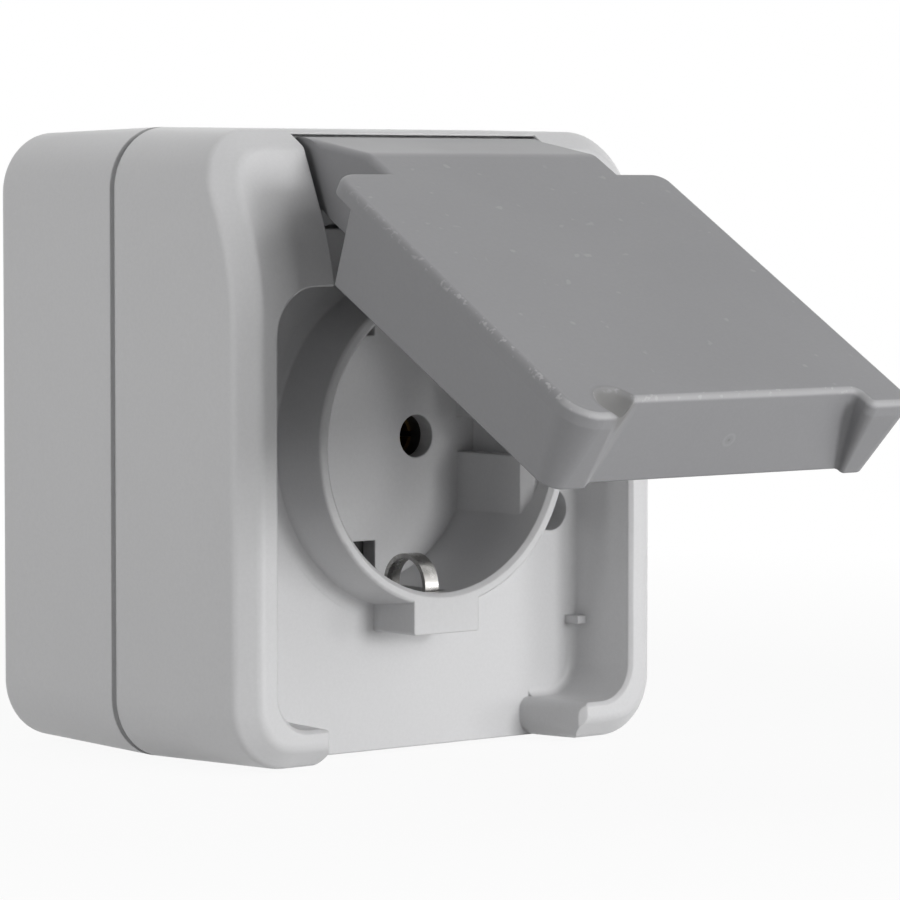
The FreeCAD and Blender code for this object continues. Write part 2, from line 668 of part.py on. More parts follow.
def lid_profile(inset):
    """The neck's side-view corners: face, leaning part and the straight back of its cheeks."""
    depth, height, bend = knuckle_tangent()
    lean = math.radians(LID_LEAN)
    back = LID_BACK + LID_NECK_SETBACK
    root = RECESS_TOP - 2 * LID_OVERHANG
    return [
        (LID_FACE - inset, root, 0),
        (LID_FACE - inset, bend - inset * math.tan(lean / 2), LID_BEND),
        (depth - inset * math.cos(lean), height - inset * math.sin(lean), 0),
        (HINGE_DEPTH, HINGE_HEIGHT, 0),
        (back, HINGE_HEIGHT - KNUCKLE_RADIUS - LID_NECK_SETBACK, 0),
        (back, root, 0),
    ]


def behind_overhang(inset):
    """Everything below the skirt's rear wall, which leans and stands back under the plate's overhang."""
    top = RECESS_TOP - LID_SHOULDER_GAP - LID_OVERHANG - inset
    low = top - LID_SKIRT_LEAN
    points = [
        (LID_FACE + 1, -FAR, 0),
        (LID_FACE + 1, top, 0),
        (LID_INSIDE, top, 0),
        (LID_BACK, low, 0),
        (LID_BACK - 2, low, 0),
        (LID_BACK - 2, -FAR, 0),
    ]
    return side_prism(points, -FAR, FAR)


def lid_rear_outline(top):
    """The skirt's outline at its rear, where both bosses are lower than under the face and the left side is narrower."""
    front = lid_outline(top)
    bottom = front[0][1] + LID_BOSS_RISE
    scoop = front[2][1] + LID_SCOOP_RISE
    return [
        (-LID_HALF_WIDTH_BOTTOM, bottom, LID_CORNER),
        (-LID_REAR_BOSS_LEFT, bottom, LID_BOSS_ROUND * 0.6),
        (-LID_REAR_SCOOP_LEFT, scoop, LID_SCOOP_ROUND * 0.5),
        (LID_REAR_SCOOP_RIGHT, scoop, LID_SCOOP_CORNER * 0.5),
        (LID_REAR_SCOOP_RIGHT, bottom, LID_BOSS_ROUND * 0.4),
        (LID_HALF_WIDTH_BOTTOM, bottom, LID_CORNER),
        (LID_HALF_WIDTH_TOP, top, LID_CORNER),
        (-LID_HALF_WIDTH_TOP, top, LID_CORNER),
    ]


def lid_skirt(top):
    """The skirt's outside, ruled from the outline under the face to the one at its rear."""
    wires = []
    for corners, depth in ((lid_rear_outline(top), LID_BACK), (lid_outline(top), LID_INSIDE)):
        face = prism(corners, depth, depth + 1)
        rim = [f for f in face.Faces if abs(f.BoundBox.YMin + depth) < 1e-6 and f.BoundBox.YLength < 1e-6]
        wires.append(rim[0].OuterWire)
    return Part.makeLoft(wires, True, True)


def lid_dent():
    """The shallow dent in the face beside the left boss."""
    return Part.makeSphere(LID_DENT_RADIUS, at(-LID_DENT_X, LID_FACE + LID_DENT_RADIUS - LID_DENT_DEPTH, -LID_DENT_Z))


def rear_corners(shape):
    """The edges where the skirt's rear wall meets its sides."""
    low = RECESS_TOP - LID_SHOULDER_GAP - LID_OVERHANG - LID_WALL - LID_SKIRT_LEAN
    return [edge for edge in shape.Edges
            if edge.BoundBox.YLength > (LID_INSIDE - LID_BACK) / 2 and edge.BoundBox.ZMax > low - 1]


def lid():
    """The lid in its closed place: cap, neck and knuckle in one moulding."""
    top = RECESS_TOP - LID_SHOULDER_GAP
    plate = prism(lid_outline(top), LID_INSIDE, LID_FACE)
    face_edges = [edge for edge in plate.Edges
                  if edge.BoundBox.YMin < -LID_FACE + 1e-6 and edge.BoundBox.YLength < 1e-6]
    plate = plate.makeFillet(LID_EDGE_ROUND, face_edges)
    skirt = lid_skirt(top).common(behind_overhang(0))
    skirt = skirt.makeFillet(LID_REAR_ROUND, rear_corners(skirt))
    hollow = prism(lid_hollow_outline(top), LID_BACK - 1, LID_INSIDE).common(behind_overhang(LID_WALL))
    neck = side_prism(lid_profile(0), -LID_NECK_HALF, LID_NECK_HALF)
    outer = [edge for edge in neck.Edges
             if edge.BoundBox.XLength < 1e-6 and edge.BoundBox.YMax < -HINGE_DEPTH - 1
             and edge.BoundBox.ZMax < knuckle_tangent()[1] + 0.01 and edge.Length > 1]
    neck = neck.makeFillet(LID_EDGE_ROUND, outer)
    barrel = Part.makeCylinder(KNUCKLE_RADIUS, 2 * LID_NECK_HALF,
                               at(-LID_NECK_HALF, HINGE_DEPTH, HINGE_HEIGHT), Vector(1, 0, 0))
    inner_half = LID_NECK_HALF - LID_CHEEK_WALL
    neck_hollow = side_prism(lid_profile(LID_WALL), -inner_half, inner_half)
    low = block(-inner_half, inner_half, LID_BACK - 1, LID_INSIDE, RECESS_TOP - 3 * LID_OVERHANG,
                HINGE_HEIGHT - KNUCKLE_RADIUS + 1)
    core = Part.makeCylinder(KNUCKLE_RADIUS - LID_WALL, 2 * inner_half,
                             at(-inner_half, HINGE_DEPTH, HINGE_HEIGHT), Vector(1, 0, 0))
    chute = block(-inner_half, inner_half, HINGE_DEPTH - KNUCKLE_RADIUS - 1, HINGE_DEPTH + 0.5,
                  HINGE_HEIGHT - KNUCKLE_RADIUS - 2, HINGE_HEIGHT - 1.5)
    solid = plate.multiFuse([skirt, neck, barrel]).cut(lid_dent())
    solid = solid.cut(hollow.multiFuse([neck_hollow, low, core, chute]))
    z = -SOCKET_DROP
    pin = hinge_pin(HINGE_PIN_RADIUS + HINGE_PIN_CLEARANCE)
    over_collar = rod(0, z, LID_BACK - 2, COLLAR_FRONT + LID_SEAL_GAP, CUP_RADIUS + LID_COLLAR_GAP)
    seal_seat = rod(0, z, COLLAR_FRONT, LID_INSIDE, LID_SEAL_INNER + LID_SEAL_WIDTH)
    solid = solid.cut(pin.multiFuse([mirrored(pin), over_collar, seal_seat]))
    rib_front = LID_INSIDE - LID_SEAL_RIB_HEIGHT
    outer = LID_SEAL_INNER + LID_SEAL_WIDTH
    ribs = []
    for near, far in ((LID_SEAL_INNER - LID_SEAL_RIB, LID_SEAL_INNER), (outer, outer + LID_SEAL_RIB)):
        ring = rod(0, z, rib_front, LID_INSIDE + 0.5, far).cut(rod(0, z, rib_front - 1, LID_FACE, near))
        ribs.append(ring)
    return solid.multiFuse(ribs).removeSplitter()


def lid_seal():
    """The sealing ring that the lid presses on the collar."""
    z = -SOCKET_DROP
    back = COLLAR_FRONT + LID_SEAL_GAP
    outer = LID_SEAL_INNER + LID_SEAL_WIDTH - FIT
    ring = rod(0, z, back, LID_INSIDE, outer)
    return ring.cut(rod(0, z, back - 1, LID_FACE, LID_SEAL_INNER + FIT))


def opened(shape):
    """A lid piece swung from its closed place to where it rests."""
    turned = shape.copy()
    turned.rotate(at(0, HINGE_DEPTH, HINGE_HEIGHT), Vector(1, 0, 0), -LID_OPEN_ANGLE)
    return turned


def slotted_screw(x, z, seat, head_radius, head_height, shank_radius, length):
    """A screw with a slotted pan head whose underside is at depth seat."""
    head = rod(x, z, seat, seat + head_height, head_radius)
    top = [edge for edge in head.Edges if abs(edge.BoundBox.YMin + seat + head_height) < 1e-6
           and abs(edge.BoundBox.YMax + seat + head_height) < 1e-6]
    head = head.makeFillet(head_height / 4, top)
    shank = rod(x, z, seat - length + shank_radius, seat + 0.1, shank_radius)
    point = cone(x, z, seat - length, seat - length + shank_radius, shank_radius / 3, shank_radius)
    slot = block(x - head_radius - 1, x + head_radius + 1, seat + head_height - SLOT_DEPTH,
                 seat + head_height + 1, z - SLOT_WIDTH / 2, z + SLOT_WIDTH / 2)
    return fuse(head, shank, point).cut(slot)


def cover_screw():
    """The right one of the two screws that hold the cover on the box."""
    seat = SEAM + SCREW_SEAT + SCREW_SEAL
    return slotted_screw(COVER_SCREW_X, -COVER_SCREW_Z, seat, COVER_SCREW_HEAD, COVER_SCREW_HEAD_HEIGHT,
                         COVER_SCREW_SHANK, COVER_SCREW_LENGTH)


def screw_seal():
    """The rubber washer under the right cover screw's head."""
    seat = SEAM + SCREW_SEAT
    ring = rod(COVER_SCREW_X, -COVER_SCREW_Z, seat, seat + SCREW_SEAL, COVER_SCREW_HEAD + FIT * 4)
    return ring.cut(rod(COVER_SCREW_X, -COVER_SCREW_Z, seat - 1, seat + 2, COVER_SCREW_SHANK + FIT))


def carrier_screw():
    """The lower one of the two screws that hold the contact carrier in the box."""
    seat = CARRIER_FRONT - SCREW_SEAT
    return slotted_screw(CARRIER_SCREW_X, -CARRIER_SCREW_Z, seat, CARRIER_SCREW_HEAD,
                         COVER_SCREW_HEAD_HEIGHT, COVER_SCREW_SHANK, CARRIER_SCREW_LENGTH)


def terminal_places():
    """The three terminals as (x, z): neutral, line and earth."""
    z = -SOCKET_DROP
    neutral = (CARRIER_SCREW_X, CARRIER_SCREW_Z)
    line = (-CARRIER_SCREW_X, 2 * z - CARRIER_SCREW_Z)
    return {"neutral": neutral, "line": line, "earth": (0, z - EARTH_TERMINAL_Z)}


def contact_strap(gap):
    """Corner points of the neutral contact's flat strap, widened by gap."""
    z = -SOCKET_DROP
    x0 = PIN_X - CONTACT_STRAP_HALF - gap
    x1 = PIN_X + CONTACT_STRAP_HALF + gap
    far = CARRIER_SCREW_X + TERMINAL_HALF + gap
    low = CARRIER_SCREW_Z - TERMINAL_HALF - gap
    top = CARRIER_SCREW_Z + TERMINAL_HALF + gap
    return [(x0, z - SLEEVE_BORE, 0), (x1, z - SLEEVE_BORE, 0), (x1, low, 0), (far, low, 0),
            (far, top, 0), (x0, top, 0)]


def neutral_contact():
    """A brass sleeve for one plug pin, with the strap that leads to its terminal."""
    z = -SOCKET_DROP
    x, terminal_z = terminal_places()["neutral"]
    strap = prism(contact_strap(0), CARRIER_SPLIT, CARRIER_SPLIT + CONTACT_SHEET)
    front = CARRIER_SPLIT + SLEEVE_LENGTH
    sleeve = rod(PIN_X, z, CARRIER_SPLIT, front, SLEEVE_BORE + SLEEVE_WALL)
    solid = fuse(strap, sleeve)
    cuts = [
        rod(PIN_X, z, CARRIER_SPLIT - 1, front + 1, SLEEVE_BORE),
        block(PIN_X - FAR / 8, PIN_X + FAR / 8, front - SLEEVE_LENGTH * 0.6, front + 1,
              z - SLEEVE_SLIT / 2, z + SLEEVE_SLIT / 2),
        rod(x, terminal_z, 0, FLOOR, TERMINAL_SCREW_SHANK + FIT),
    ]
    return solid.cut(cuts[0].multiFuse(cuts[1:]))


def earth_bow():
    """The earth strip with its terminal plate and the two sprung clips that reach into the well."""
    z = -SOCKET_DROP
    sheet = EARTH_SHEET
    back = CARRIER_SPLIT
    outer = EARTH_TRACK - CHANNEL_GAP
    strip = block(-EARTH_BOW_HALF, EARTH_BOW_HALF, back, back + sheet, z - outer, z + outer)
    plate = block(-TERMINAL_HALF + 0.1, TERMINAL_HALF - 0.1, back, back + sheet,
                  z - EARTH_TERMINAL_Z - TERMINAL_HALF + 0.4, z - outer + 0.5)
    middle = COLLAR_FRONT - EARTH_ARCH_DEPTH
    half = EARTH_HALF_WIDTH
    pieces = [plate]
    for side in (-1, 1):
        arch_z = z + side * (outer - 1.6)
        start = at(-half, middle, arch_z)
        ring = Part.makeCylinder(EARTH_ARCH_RADIUS, 2 * half, start, Vector(1, 0, 0))
        ring = ring.cut(Part.makeCylinder(EARTH_ARCH_RADIUS - sheet, 2 * half, start, Vector(1, 0, 0)))
        far_z = z + side * outer
        keep = block(-half - 1, half + 1, 0, FAR, min(z, far_z), max(z, far_z))
        track0 = min(far_z, far_z - side * sheet)
        track1 = max(far_z, far_z - side * sheet)
        leg = block(-half, half, back, middle - EARTH_ARCH_RADIUS + 1.4, track0, track1)
        foot = block(-half, half, middle + EARTH_ARCH_RADIUS - 1.4, middle + EARTH_ARCH_RADIUS + 0.3,
                     track0, track1)
        pieces += [ring.common(keep), leg, foot]
    bow = fuse(strip, *pieces)
    return bow.cut(rod(0, z - EARTH_TERMINAL_Z, 0, FLOOR, TERMINAL_SCREW_SHANK + FIT))


def terminal_screw(name):
    """The screw of one terminal."""
    x, z = terminal_places()[name]
    sheet = EARTH_SHEET if name == "earth" else CONTACT_SHEET
    seat = CARRIER_SPLIT + sheet + WIRE_SPACE + CLAMP_THICK
    length = seat - CARRIER_BACK + 0.5
    return slotted_screw(x, z, seat, TERMINAL_SCREW_HEAD, COVER_SCREW_HEAD_HEIGHT,
                         TERMINAL_SCREW_SHANK, length)


def terminal_clamp(name):
    """The square washer that presses the wire in one terminal."""
    x, z = terminal_places()[name]
    sheet = EARTH_SHEET if name == "earth" else CONTACT_SHEET
    near = CARRIER_SPLIT + sheet + WIRE_SPACE
    half = TERMINAL_HALF - 0.4
    height = half - 0.4
    plate = block(x - half, x + half, near, near + CLAMP_THICK, z - height, z + height)
    return plate.cut(rod(x, z, near - 1, near + CLAMP_THICK + 1, TERMINAL_SCREW_SHANK + FIT))


def contact_carrier():
    """The insulating block that holds the contacts behind the well."""
    z = -SOCKET_DROP
    body = prism(
        [(x, level + z, radius) for x, level, radius in
         rectangle(CARRIER_HALF_WIDTH, CARRIER_HALF_HEIGHT, CARRIER_CORNER)],
        CARRIER_SPLIT, CARRIER_FRONT)
    sleeve_end = CARRIER_SPLIT + SLEEVE_LENGTH + CHANNEL_GAP
    pocket = rod(PIN_X, z, CARRIER_SPLIT - 1, sleeve_end, SLEEVE_BORE + SLEEVE_WALL + CHANNEL_GAP * 5)
    entry = rod(PIN_X, z, CARRIER_SPLIT, CARRIER_FRONT + 1, PIN_HOLE_RADIUS)
    channel = prism(contact_strap(CHANNEL_GAP), CARRIER_SPLIT - 1, CARRIER_SPLIT + CONTACT_SHEET + CHANNEL_GAP)
    cuts = [pocket, entry, channel]
    cuts += [half_turned(cut) for cut in (pocket, entry, channel)]
    half = TERMINAL_HALF + CHANNEL_GAP
    for name, (x, height) in terminal_places().items():
        cuts.append(block(x - half, x + half, CARRIER_SPLIT + 0.5, CARRIER_FRONT + 1, height - half, height + half))
        cuts.append(rod(x, height, CARRIER_SPLIT - 1, CARRIER_FRONT, TERMINAL_SCREW_SHANK + FIT * 4))
        away = 1 if height > z else -1
        wire_depth = CARRIER_SPLIT + CONTACT_SHEET + WIRE_SPACE / 2 + 0.1
        cuts.append(Part.makeCylinder(WIRE_HOLE, CARRIER_HALF_HEIGHT, at(x, wire_depth, height),
                                      Vector(0, 0, away)))
    bow_half = EARTH_BOW_HALF + CHANNEL_GAP
    outer = EARTH_TRACK
    cuts.append(block(-bow_half, bow_half, CARRIER_SPLIT - 1, CARRIER_SPLIT + EARTH_SHEET + CHANNEL_GAP,
                      z - outer, z + outer))
    plate_half = TERMINAL_HALF
    cuts.append(block(-plate_half, plate_half, CARRIER_SPLIT - 1, CARRIER_SPLIT + EARTH_SHEET + CHANNEL_GAP,
                      z - EARTH_TERMINAL_Z - TERMINAL_HALF + 0.3, z - outer + 1))
    for side in (-1, 1):
        edge = z + side * outer
        inner = z + side * (outer - EARTH_SHEET - CHANNEL_GAP * 2)
        cuts.append(block(-EARTH_HALF_WIDTH - CHANNEL_GAP, EARTH_HALF_WIDTH + CHANNEL_GAP, CARRIER_SPLIT - 1,
                          CARRIER_FRONT + 1, min(edge, inner), max(edge, inner)))
    seat = CARRIER_FRONT - SCREW_SEAT
    head = rod(CARRIER_SCREW_X, -CARRIER_SCREW_Z, seat, CARRIER_FRONT + 1, CARRIER_SCREW_HEAD + FIT * 4)
    shank = rod(CARRIER_SCREW_X, -CARRIER_SCREW_Z, 0, seat + 1, COVER_SCREW_SHANK + FIT * 4)
    cuts += [head, half_turned(head), shank, half_turned(shank)]
    return body.cut(cuts[0].multiFuse(cuts[1:])).removeSplitter()


def carrier_plate():
    """The insulating plate that closes the carrier's back."""
    z = -SOCKET_DROP
    body = prism(
        [(x, level + z, radius) for x, level, radius in
         rectangle(CARRIER_HALF_WIDTH, CARRIER_HALF_HEIGHT, CARRIER_CORNER)],
        CARRIER_BACK, CARRIER_SPLIT)
    shank = rod(CARRIER_SCREW_X, -CARRIER_SCREW_Z, 0, SEAM, COVER_SCREW_SHANK + FIT * 4)
    cuts = [shank, half_turned(shank)]
    for x, height in terminal_places().values():
        cuts.append(rod(x, height, 0, SEAM, TERMINAL_SCREW_SHANK + FIT * 4))
    return body.cut(cuts[0].multiFuse(cuts[1:]))


def pieces():
    """Every node of the part, with its solid where it rests."""
    screw = cover_screw()
    seal = screw_seal()
    pin = hinge_pin(HINGE_PIN_RADIUS)
    contact = neutral_contact()
    holder = carrier_screw()
    made = {
        "mounting_box": mounting_box(),
        "box_gasket": box_gasket(),
        "cable_grommet_top": cable_grommet(1),
        "cable_grommet_bottom": cable_grommet(-1),
        "front_cover": front_cover(),
        "cover_screw_right": screw,
        "cover_screw_left": mirrored(screw),
        "screw_seal_right": seal,
        "screw_seal_left": mirrored(seal),
        "contact_carrier": contact_carrier(),
        "carrier_plate": carrier_plate(),
        "carrier_screw_lower": holder,
        "carrier_screw_upper": half_turned(holder),
        "neutral_contact": contact,
        "line_contact": half_turned(contact),
        "earth_bow": earth_bow(),
        "lid": opened(lid()),
        "lid_seal": opened(lid_seal()),
        "hinge_pin_right": pin,
        "hinge_pin_left": mirrored(pin),
    }
    for name in terminal_places():
        made[name + "_terminal_screw"] = terminal_screw(name)
        made[name + "_clamp"] = terminal_clamp(name)
    return made


os.makedirs("parts", exist_ok=True)
for node, solid in pieces().items():
    if len(solid.Solids) != 1 or not solid.isValid():
        raise ValueError(f"{node} has {len(solid.Solids)} solids, valid {solid.isValid()}")
    solid.Solids[0].exportStep(f"parts/{node}.step")
    print(node, round(solid.Volume, 1))
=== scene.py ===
"""Looks of the surface-mounted weatherproof socket: its finishes, its light and its camera."""

import json
import logging
import math
from dataclasses import dataclass, field
from enum import Enum
from typing import Any

import bmesh
import bpy
from mathutils import Matrix, Vector


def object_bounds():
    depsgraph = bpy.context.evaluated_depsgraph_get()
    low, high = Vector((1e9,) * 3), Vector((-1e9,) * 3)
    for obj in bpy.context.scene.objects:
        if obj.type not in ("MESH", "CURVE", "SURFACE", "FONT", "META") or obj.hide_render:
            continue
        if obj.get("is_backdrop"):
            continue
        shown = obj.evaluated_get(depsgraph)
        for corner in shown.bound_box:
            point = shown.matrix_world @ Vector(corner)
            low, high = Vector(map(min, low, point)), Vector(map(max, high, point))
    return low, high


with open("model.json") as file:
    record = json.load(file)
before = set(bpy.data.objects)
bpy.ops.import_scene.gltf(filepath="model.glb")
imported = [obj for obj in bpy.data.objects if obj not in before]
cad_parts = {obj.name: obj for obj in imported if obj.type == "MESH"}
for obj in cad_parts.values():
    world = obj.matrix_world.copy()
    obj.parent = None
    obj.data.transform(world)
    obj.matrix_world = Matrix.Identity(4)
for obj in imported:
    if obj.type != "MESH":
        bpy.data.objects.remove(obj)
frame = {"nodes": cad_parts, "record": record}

LOG = logging.getLogger("socket")
MM = 0.001
NOISE_BAND = (0.3, 0.7)


class Slot(Enum):
    """The record's material slots."""

    SHELL = "shell_grey"
    LID = "lid_grey"
    RUBBER = "rubber"
    BRASS = "brass"
    STEEL = "steel"
    INSULATOR = "insulator"
    EARTH = "earth_metal"


def linear(hex_colour: str) -> tuple[float, float, float, float]:
    """Turns an sRGB hex value into a linear colour with alpha.

    Args:
        hex_colour: Six hex digits after a hash sign.

    Returns:
        Red, green, blue and alpha, each from 0 to 1.
    """
    channels = [int(hex_colour[i:i + 2], 16) / 255 for i in (1, 3, 5)]
    red, green, blue = [c / 12.92 if c <= 0.04045 else ((c + 0.055) / 1.055) ** 2.4 for c in channels]
    return red, green, blue, 1.0


def per_metre(size_mm: float) -> float:
    """Scale of a texture node whose pattern repeats about every size_mm millimetres."""
    return 1.0 / (size_mm * MM)


@dataclass(frozen=True)
class Rise:
    """A share that runs from low to high while a measure runs from start to end, and stays level beyond them."""

    measure: bpy.types.NodeSocket
    start: float
    end: float
    low: float = 0.0
    high: float = 1.0


class NodeSheet:
    """The node tree of a material or a world, built by adding one node at a time."""

    def __init__(self, holder: bpy.types.Material | bpy.types.World) -> None:
        """Empties the holder's node tree.

        Args:
            holder: A new material or world.
        """
        holder.use_nodes = True
        self.holder = holder
        self.tree = holder.node_tree
        self.tree.nodes.clear()

    @classmethod
    def material(cls, name: str) -> "NodeSheet":
        """Starts an empty material of that name."""
        return cls(bpy.data.materials.new(name))

    def add(self, kind: str, links: dict[Any, Any] | None = None, values: dict[Any, Any] | None = None,
            **settings: Any) -> bpy.types.Node:
        """Adds a node with its settings, input values and links.

        Args:
            kind: The node's type in Blender.
            links: Input name or number, and the output socket that feeds it.
            values: Input name or number, and its own value.
            settings: Properties of the node itself.

        Returns:
            The new node.
        """
        node = self.tree.nodes.new(kind)
        for key, value in settings.items():
            setattr(node, key, value)
        for key, value in (values or {}).items():
            node.inputs[key].default_value = value
        for key, socket in (links or {}).items():
            self.tree.links.new(socket, node.inputs[key])
        return node

    def seen(self) -> bpy.types.NodeSocket:
        """Tells what is seen, whether straight, in gloss or through glass, from what only lights the part.

        Returns:
            The output socket that is 1 for the first and 0 for the second.
        """
        rays = self.add("ShaderNodeLightPath")
        bent = self.add("ShaderNodeMath", {0: rays.outputs["Is Glossy Ray"], 1: rays.outputs["Is Transmission Ray"]},
                        operation="MAXIMUM")
        return self.add("ShaderNodeMath", {0: rays.outputs["Is Camera Ray"], 1: bent.outputs[0]},
                        operation="MAXIMUM").outputs[0]

    def share(self, *rises: Rise) -> bpy.types.NodeSocket:
        """Multiplies one or more shares.

        Args:
            rises: The shares to multiply.

        Returns:
            The output socket with their product.
        """
        product: bpy.types.Node | None = None
        for rise in rises:
            step = self.add("ShaderNodeMapRange", {"Value": rise.measure},
                            {"From Min": rise.start, "From Max": rise.end, "To Min": rise.low, "To Max": rise.high})
            if product is not None:
                step = self.add("ShaderNodeMath", {0: product.outputs[0], 1: step.outputs[0]}, operation="MULTIPLY")
            product = step
        return product.outputs[0]

    def close(self, shader: bpy.types.Node) -> bpy.types.Material:
        """Ends the material with its shader.

        Args:
            shader: The last shader node.

        Returns:
            The finished material.
        """
        self.add("ShaderNodeOutputMaterial", {"Surface": shader.outputs[0]})
        return self.holder


@dataclass(frozen=True)
class LidWear:
    """Marks of use and moulding on the lid, with painted light: rubbed specks on its face's edges, a painted highlight
    line along the front edge of its face, painted shade in its dent, the gate's ring.

    Places are measured from the hinge in the shut lid: across, forwards out of the wall and upwards. A facing is 1
    where a surface looks the way that the lid's face does, and 0 on the skirt.
    """

    # The pale colour serves the rubbed wear, the painted highlight line on the front edge and the gate's ring.
    pale: str = "#ADADAE"
    # The dark colour is the gate's dot, and also the painted shade in the dent.
    dark: str = "#5E5D5A"
    joint: str = "lid_hinge"
    # The rubbed band follows the face's rounded edge and grows from the shoulder to the front.
    off_skirt: tuple[float, float] = (0.08, 0.4)
    off_face: tuple[float, float] = (0.995, 0.93)
    face_mm: float = 10.0
    band_mm: tuple[float, float] = (1.4, 0.8)
    shoulder_mm: float = -15.0
    shoulder_fade_mm: float = 1.0
    shoulder_share: float = 0.25
    front_mm: float = -66.5
    heavy_mm: float = 12.0
    specks_mm: float = 0.9
    specks: tuple[float, float] = (0.55, 0.66)
    specks_share: float = 0.8
    # A painted highlight: an even pale line along the rounded front edge of the face.
    front_highlight_mm: float = 1.5
    front_highlight_share: float = 0.55
    # A few faint nicks lie on the flat of the face.
    on_face: tuple[float, float] = (0.99, 0.999)
    nicks_mm: float = 2.0
    nicks: tuple[float, float] = (0.72, 0.78)
    nicks_share: float = 0.25
    dent_mm: tuple[float, float, float] = (-21.6, 10.0, -67.4)
    dent_edge_mm: tuple[float, float] = (2.8, 4.025)
    # How far the dent is darkened by painted shade.
    dent_shade_share: float = 0.6
    gate_mm: tuple[float, float, float] = (0.8, 3.0, -66.6)
    ring_inside_mm: tuple[float, float] = (0.54, 0.81)
    ring_outside_mm: tuple[float, float] = (1.17, 0.9)
    ring_share: float = 0.16
    dot_mm: tuple[float, float] = (0.315, 0.135)
    dot_share: float = 0.5

    def rub(self, sheet: NodeSheet, place: bpy.types.NodeSocket, colour: bpy.types.NodeSocket) -> bpy.types.NodeSocket:
        """Lays the wear, a painted highlight line and painted shade in the dent over the plastic's colour.

        Args:
            sheet: The material being built.
            place: Point on the object.
            colour: Colour of the unworn plastic.

        Returns:
            The colour with its wear, its painted highlight line and its painted shade in the dent.
        """
        hinge = next(joint for joint in frame["record"]["behaviour"]["joints"] if joint["name"] == self.joint)
        swing = math.radians(hinge["range_deg"][0])
        shut = sheet.add("ShaderNodeMapping", {"Vector": place},
                         {"Location": hinge["pos_m"], "Rotation": (swing, 0.0, 0.0)}, vector_type="TEXTURE").outputs[0]
        normal = sheet.add("ShaderNodeTexCoord").outputs["Normal"]
        facing = sheet.add("ShaderNodeVectorMath", {0: normal}, {1: (0.0, -math.cos(swing), -math.sin(swing))},
                           operation="DOT_PRODUCT").outputs["Value"]
        off_dent = sheet.share(Rise(self.reach(sheet, shut, self.dent_mm), *(edge * MM for edge in self.dent_edge_mm)))
        rubbed_and_highlit = sheet.add("ShaderNodeMath", {0: self.edge_share(sheet, place, shut, facing, off_dent),
                                              1: self.nick_share(sheet, place, facing)}, operation="MAXIMUM")
        # Painted shade: the dent is darkened towards the dark colour.
        dent_shade = sheet.share(Rise(off_dent, 0.0, 1.0, self.dent_shade_share, 0.0))
        dent_shaded = sheet.add("ShaderNodeMix", {"Factor": dent_shade, "A": colour}, {"B": linear(self.dark)}, data_type="RGBA")
        worn_and_highlit = sheet.add("ShaderNodeMix", {"Factor": rubbed_and_highlit.outputs[0], "A": dent_shaded.outputs["Result"]},
                         {"B": linear(self.pale)}, data_type="RGBA")
        return self.mark_gate(sheet, shut, worn_and_highlit.outputs["Result"])

    def edge_share(self, sheet: NodeSheet, place: bpy.types.NodeSocket, shut: bpy.types.NodeSocket,
                   facing: bpy.types.NodeSocket, off_dent: bpy.types.NodeSocket) -> bpy.types.NodeSocket:
        """Finds how far the edge of the face is rubbed pale, with a painted highlight line along its front edge.

        Args:
            sheet: The material being built.
            place: Point on the object.
            shut: Point on the shut lid, measured from the hinge.
            facing: How far the surface looks the face's way.
            off_dent: 0 in the dent and 1 away from it.

        Returns:
            The output socket with the share of pale colour, from wear and from the painted highlight.
        """
        axes = sheet.add("ShaderNodeSeparateXYZ", {0: shut})
        depth, height = axes.outputs["Y"], axes.outputs["Z"]
        chips = sheet.add("ShaderNodeTexNoise", {"Vector": place}, {"Scale": per_metre(self.specks_mm), "Detail": 2.0})
        specks = sheet.share(Rise(chips.outputs["Fac"], *self.specks, 0.0, self.specks_share))
        # Painted highlight along the front edge of the face.
        highlight_line = sheet.share(Rise(height, (self.front_mm + self.front_highlight_mm) * MM, self.front_mm * MM, 0.0,
                                self.front_highlight_share))
        specks_and_highlight = sheet.add("ShaderNodeMath", {0: specks, 1: highlight_line}, operation="MAXIMUM")
        return sheet.share(
            Rise(facing, *self.off_skirt),
            Rise(facing, *self.off_face),
            Rise(depth, *((band - self.face_mm) * MM for band in self.band_mm)),
            Rise(height, self.shoulder_mm * MM, (self.front_mm + self.heavy_mm) * MM, self.shoulder_share, 1.0),
            Rise(height, self.shoulder_mm * MM, (self.shoulder_mm - self.shoulder_fade_mm) * MM),
            Rise(off_dent, 0.0, 1.0),
            Rise(specks_and_highlight.outputs[0], 0.0, 1.0))

    def nick_share(self, sheet: NodeSheet, place: bpy.types.NodeSocket,
                   facing: bpy.types.NodeSocket) -> bpy.types.NodeSocket:
        """Finds the few faint nicks on the flat of the face.

        Args:
            sheet: The material being built.
            place: Point on the object.
            facing: How far the surface looks the face's way.

        Returns:
            The output socket with the share of pale plastic.
        """
        nicks = sheet.add("ShaderNodeTexNoise", {"Vector": place}, {"Scale": per_metre(self.nicks_mm), "Detail": 1.0})
        return sheet.share(Rise(facing, *self.on_face), Rise(nicks.outputs["Fac"], *self.nicks, 0.0, self.nicks_share))

    def reach(self, sheet: NodeSheet, shut: bpy.types.NodeSocket,
              centre_mm: tuple[float, float, float]) -> bpy.types.NodeSocket:
        """Measures the distance from a place on the shut lid.

        Args:
            sheet: The material being built.
            shut: Point on the shut lid, measured from the hinge.
            centre_mm: The place, across, forwards and upwards from the hinge.

        Returns:
            The output socket with the distance in metres.
        """
        across, forward, up = centre_mm
        return sheet.add("ShaderNodeVectorMath", {0: shut}, {1: (across * MM, -forward * MM, up * MM)},
                         operation="DISTANCE").outputs["Value"]

